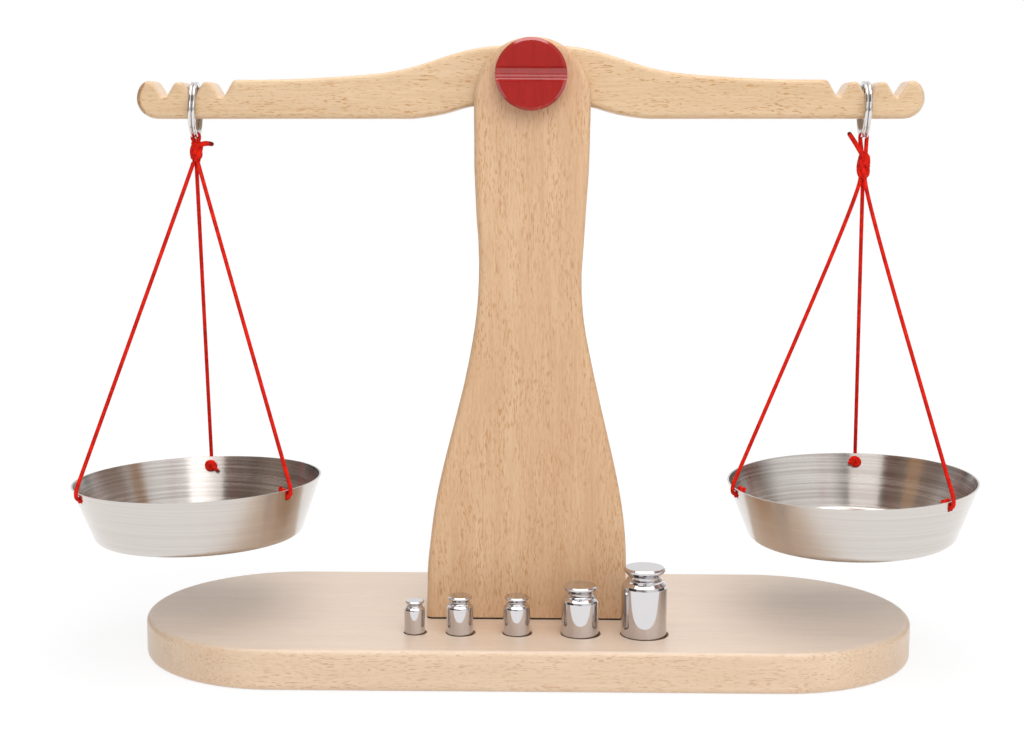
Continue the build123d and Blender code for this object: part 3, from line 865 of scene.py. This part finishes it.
# Knobs: two thick wooden discs, stained red and waxed, pressed on the ends of the steel
# axle. The front one has a groove across its face to grip.
knob_edge = 0.5 * mm
knob_edge_steps = 3
knob_edge_angle = radians(25)
stained, tree, output = new_material("red_stained_wood")
place = wire(tree, "ShaderNodeTexCoord").outputs["Object"]
stretched = wire(tree, "ShaderNodeMapping", {"Vector": place, "Scale": (420, 420, 60)}).outputs[0]
streaks = wire(tree, "ShaderNodeTexNoise", {
    "Vector": stretched, "Scale": 1.0, "Detail": 4.0, "Roughness": 0.6,
}).outputs[0]
blots = wire(tree, "ShaderNodeTexNoise", {"Vector": place, "Scale": 90.0, "Detail": 3.0}).outputs[0]
stain = blend(tree, ramp(tree, streaks, (0.35, 0.0), (0.7, 1.0)),
              (0.42, 0.011, 0.007), (0.33, 0.008, 0.005))
stain = blend(tree, ramp(tree, blots, (0.55, 0.0), (0.8, 0.4)), stain, (0.3, 0.012, 0.010))
dent = wire(tree, "ShaderNodeBump", {"Height": streaks, "Strength": 0.1, "Distance": 0.0003})
shine = wire(tree, "ShaderNodeMapRange", {"Value": blots, "To Min": 0.35, "To Max": 0.5})
waxed = wire(tree, "ShaderNodeBsdfPrincipled", {
    "Base Color": stain, "Roughness": shine.outputs[0], "Normal": dent.outputs[0],
    "Specular IOR Level": 0.1, "Coat Weight": 1.0, "Coat Roughness": 0.1, "Coat IOR": 1.65,
})
tree.links.new(waxed.outputs[0], output.inputs[0])
for knob in ("front_knob", "rear_knob"):
    dress(knob, stained)
    eased_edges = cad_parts[knob].modifiers.new("eased_edges", "BEVEL")
    eased_edges.width = knob_edge
    eased_edges.segments = knob_edge_steps
    eased_edges.limit_method = "ANGLE"
    eased_edges.angle_limit = knob_edge_angle


# Rings: split rings of nickelled steel wire, two turns side by side, with the wire's two
# ends and its crossing at the back and a slight kink in both turns at the front.
wire_radius = 0.875 * mm
turn_points = 28
crossing = radians(14)
kink = 0.2 * mm
kink_half = 0.45
kink_fade = (0.6, 2.6)


def polished(name, colour, roughness, smudge):
    """Bright plated metal with faint smudges."""
    material, tree, output = new_material(name)
    place = wire(tree, "ShaderNodeTexCoord").outputs["Object"]
    cloud = wire(tree, "ShaderNodeTexNoise", {"Vector": place, "Scale": 160.0, "Detail": 4.0})
    tone = blend(tree, cloud.outputs[0], tuple(0.96 * c for c in colour), colour)
    shine = wire(tree, "ShaderNodeMapRange", {
        "Value": cloud.outputs[0], "To Min": roughness, "To Max": roughness + smudge,
    })
    metal = wire(tree, "ShaderNodeBsdfPrincipled", {
        "Base Color": tone, "Metallic": 1.0, "Roughness": shine.outputs[0],
    })
    tree.links.new(metal.outputs[0], output.inputs[0])
    return material


nickel = polished("polished_nickel", (0.66, 0.64, 0.63), 0.06, 0.06)
runs = 2 * turn_points - 2
control_share = 1 / (0.5 + 0.5 * cos(2 * pi / turn_points))
for side, hang in hangs.items():
    ring_middle, ring_radius, ring_aside, yaw = hang["ring"]
    control_radius = ring_radius * control_share
    points = []
    for i in range(runs + 1):
        angle = crossing + (4 * pi - 2 * crossing) * i / runs
        lane = wire_radius * (2 * eased(angle - 2 * pi, -crossing, crossing) - 1)
        from_front = angle % (2 * pi) - pi
        sway = kink * (2 * eased(from_front, -kink_half, kink_half) - 1)
        sway *= 1 - eased(abs(from_front), *kink_fade)
        behind = control_radius * cos(angle)
        turned_aside = ring_aside + (behind + ring_radius) * tan(yaw)
        points.append((hang["x"] + turned_aside + lane + sway, behind,
                       ring_middle - control_radius * sin(angle)))
    ring = line_curve(f"{side}_split_ring", points, wire_radius, nickel)
    ring.data.resolution_u = 4
    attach(ring, f"{side}_ring")
    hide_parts(f"{side}_ring")


# Pans: deep-drawn from thin stainless steel and brushed round their own axis, inside and
# out. The brushing draws every reflection out into bright and dark bands down the wall.
def brushed(name, centre):
    """Steel brushed in circles round an upright axis through centre."""
    material, tree, output = new_material(name)
    texture_place = wire(tree, "ShaderNodeTexCoord").outputs
    centred = wire(tree, "ShaderNodeVectorMath", {0: texture_place["Object"], 1: tuple(centre)},
                   operation="SUBTRACT").outputs[0]
    x, y, z = wire(tree, "ShaderNodeSeparateXYZ", {0: centred}).outputs
    normal = wire(tree, "ShaderNodeSeparateXYZ", {0: texture_place["Normal"]}).outputs
    level = maths(tree, "SQRT", maths(tree, "ADD", maths(tree, "MULTIPLY", x, x),
                                      maths(tree, "MULTIPLY", y, y)))
    drawn = wire(tree, "ShaderNodeCombineXYZ", {
        0: maths(tree, "MULTIPLY", level, 700.0),
        1: maths(tree, "MULTIPLY", z, 950.0),
        2: maths(tree, "MULTIPLY", maths(tree, "ARCTAN2", y, x), 0.35),
    })
    lines = wire(tree, "ShaderNodeTexNoise", {
        "Vector": drawn.outputs[0], "Scale": 1.0, "Detail": 1.0, "Roughness": 0.5,
    })
    outward = maths(tree, "MULTIPLY_ADD", x, normal[0], maths(tree, "MULTIPLY", y, normal[1]))
    outside = maths(tree, "GREATER_THAN", outward, 0.0)
    grooves = ramp(tree, lines.outputs[0], (0.3, 0.0), (0.7, 1.0))
    grooves = wire(tree, "ShaderNodeMix", {
        0: maths(tree, "MULTIPLY", outside, 0.75), 2: grooves, 3: 0.5,
    }).outputs[0]
    shine = wire(tree, "ShaderNodeMapRange", {"Value": grooves, "To Min": 0.22, "To Max": 0.28})
    circling = wire(tree, "ShaderNodeTangent", direction_type="RADIAL", axis="Z")
    steel = wire(tree, "ShaderNodeBsdfPrincipled", {
        "Base Color": blend(tree, grooves, (0.50, 0.46, 0.43), (0.70, 0.665, 0.63)),
        "Metallic": 1.0, "Roughness": shine.outputs[0], "Anisotropic": 0.85,
        "Anisotropic Rotation": 0.25, "Tangent": circling.outputs[0],
    })
    tree.links.new(steel.outputs[0], output.inputs[0])
    return material


for side, hang in hangs.items():
    dress(f"{side}_pan", brushed(f"{side}_pan_steel", hang["rim"]))


# Weights: five turned and mirror-chromed weights of 10, 20, 20, 50 and 100 grams, each a
# cylinder with a narrow neck and a flat disc to lift it by, standing loose in its recess.
chrome = polished("mirror_chrome_plate", (0.64, 0.62, 0.63), 0.02, 0.04)
weight_row = -41.5
weight_shift = (-0.35, 0.25)
weight_foot = 16.0
foot_chamfer = 0.5
foot_rounding = 0.15
weights = {
    "10g": (5, 19.8, -54.4),
    "20g_a": (6.5, 22.3, -32.5),
    "20g_b": (6.5, 22.3, -5),
    "50g": (9, 28, 25.6),
    "100g": (11, 37.2, 56.4),
}
weight_line = [
    (0.0, 0.0), (0.83, 0.0), (0.915, 0.07), (0.915, 0.15), (0.86, 0.225), (0.71, 0.37),
    (0.69, 0.45), (0.80, 0.56), (0.81, 0.64), (0.97, 0.77), (1.0, 0.88),
]
weight_rounding = [0.03, 0.03, 0.03, 0.04, 0.06, 0.05, 0.03, 0.03, 0.05, 0.05]
around = 96


def turned(name, profile, x, y, material):
    """A solid turned round an upright axis at x, y, from its profile of radii and heights."""
    bm = bmesh.new()
    circles = []
    for radius, height in profile:
        if radius < 1e-6:
            circles.append([bm.verts.new((x, y, height))] * around)
            continue
        circle = []
        for i in range(around):
            angle = 2 * pi * i / around
            circle.append(bm.verts.new((x + radius * cos(angle), y + radius * sin(angle), height)))
        circles.append(circle)
    for upper, lower in zip(circles, circles[1:]):
        for i in range(around):
            corners = [upper[i - 1], upper[i], lower[i], lower[i - 1]]
            bm.faces.new(list(dict.fromkeys(corners)))
    return smooth_piece(name, bm, material)


for name, (radius, height, x) in weights.items():
    top = weight_foot + height
    points = [(share * radius, top - drop * radius) for share, drop in weight_line]
    points += [(radius, weight_foot + foot_chamfer), (radius - foot_chamfer, weight_foot),
               (0.0, weight_foot)]
    radii = [share * radius for share in weight_rounding] + [foot_rounding, foot_rounding]
    profile = [(point.x * mm, point.y * mm) for point in filleted(points, radii, steps=5)]
    weight = turned(f"chromed_{name}", profile, (x + weight_shift[0]) * mm,
                    (weight_row + weight_shift[1]) * mm, chrome)
    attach(weight, f"weight_{name}")
    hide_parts(f"weight_{name}")


# Pivot and fixings: a steel axle in a brass bush, two thin steel washers, and two zinc
# plated countersunk screws under the board.
steel = polished("bright_zinc_steel", (0.56, 0.56, 0.57), 0.28, 0.12)
brass = polished("machined_brass", (0.72, 0.56, 0.28), 0.25, 0.1)
dress("pivot_axle", steel)
dress("beam_washers", steel)
dress("foot_screws", steel)
dress("beam_bush", brass)
